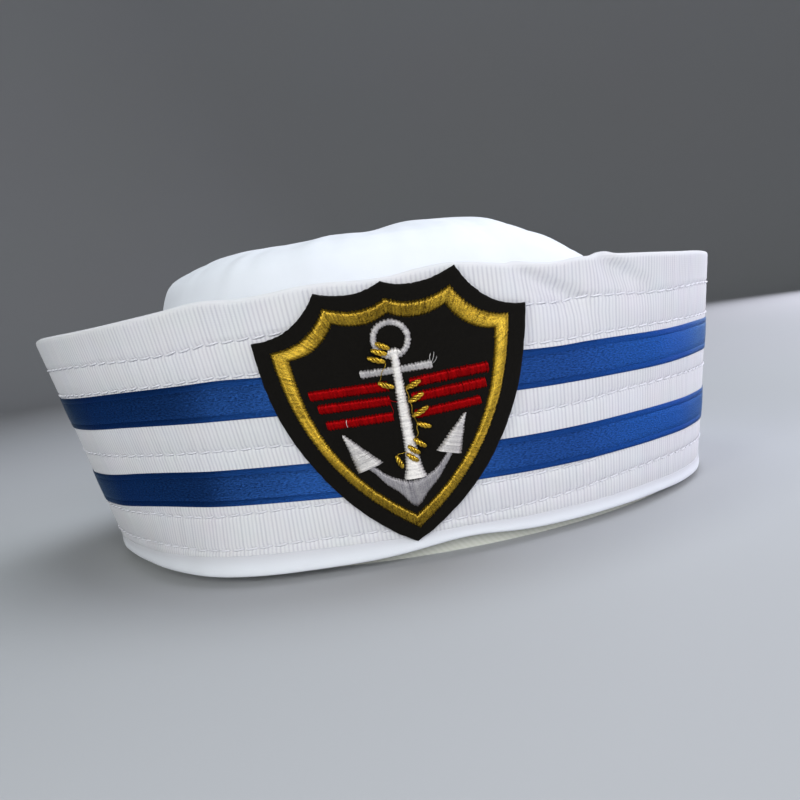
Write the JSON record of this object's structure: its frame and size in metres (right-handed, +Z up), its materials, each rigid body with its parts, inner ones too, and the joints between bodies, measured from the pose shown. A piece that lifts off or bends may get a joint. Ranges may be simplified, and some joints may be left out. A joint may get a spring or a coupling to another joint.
{
  "type": "sailor captain hat",
  "caption": "Soft white sailor-style captain hat: low gathered crown inside a tall flared cuff with blue satin ribbon stripes and an embroidered anchor shield on the front.",
  "frame": {"origin": "on the floor under the level lower edge of the sweatband, at the middle of the hat's box", "axes": "+Z up through the crown, -Y to the front where the shield is sewn, +X to the right of someone who faces the front"},
  "size_m": [0.2262, 0.2162, 0.0944],
  "materials": {
    "white_cloth": "ribbed woven white polyester cotton, matt",
    "lining_cloth": "plain woven off-white band, matt",
    "blue_satin": "royal blue satin ribbon, soft sheen",
    "black_felt": "black felt, dull",
    "gold_thread": "metallic gold embroidery thread",
    "silver_thread": "pale grey embroidery thread with a silky gloss",
    "red_thread": "red embroidery thread with a silky gloss"
  },
  "bodies": {
    "root": {"crown_side": "white_cloth", "crown_top": "white_cloth", "cuff": "white_cloth", "hem_binding": "white_cloth", "sweatband": "lining_cloth", "ribbon_lower": "blue_satin", "ribbon_upper": "blue_satin", "patch_felt": "black_felt", "patch_border": "gold_thread", "anchor": "silver_thread", "bar_left_1": "red_thread", "bar_left_2": "red_thread", "bar_left_3": "red_thread", "bar_right_1": "red_thread", "bar_right_2": "red_thread", "bar_right_3": "red_thread", "rope_1": "gold_thread", "rope_2": "gold_thread", "rope_3": "gold_thread", "rope_4": "gold_thread", "rope_5": "gold_thread", "rope_6": "gold_thread", "rope_7": "gold_thread", "rope_8": "gold_thread", "rope_9": "gold_thread", "rope_10": "gold_thread", "rope_11": "gold_thread", "rope_12": "gold_thread"}
  },
  "joints": []
}
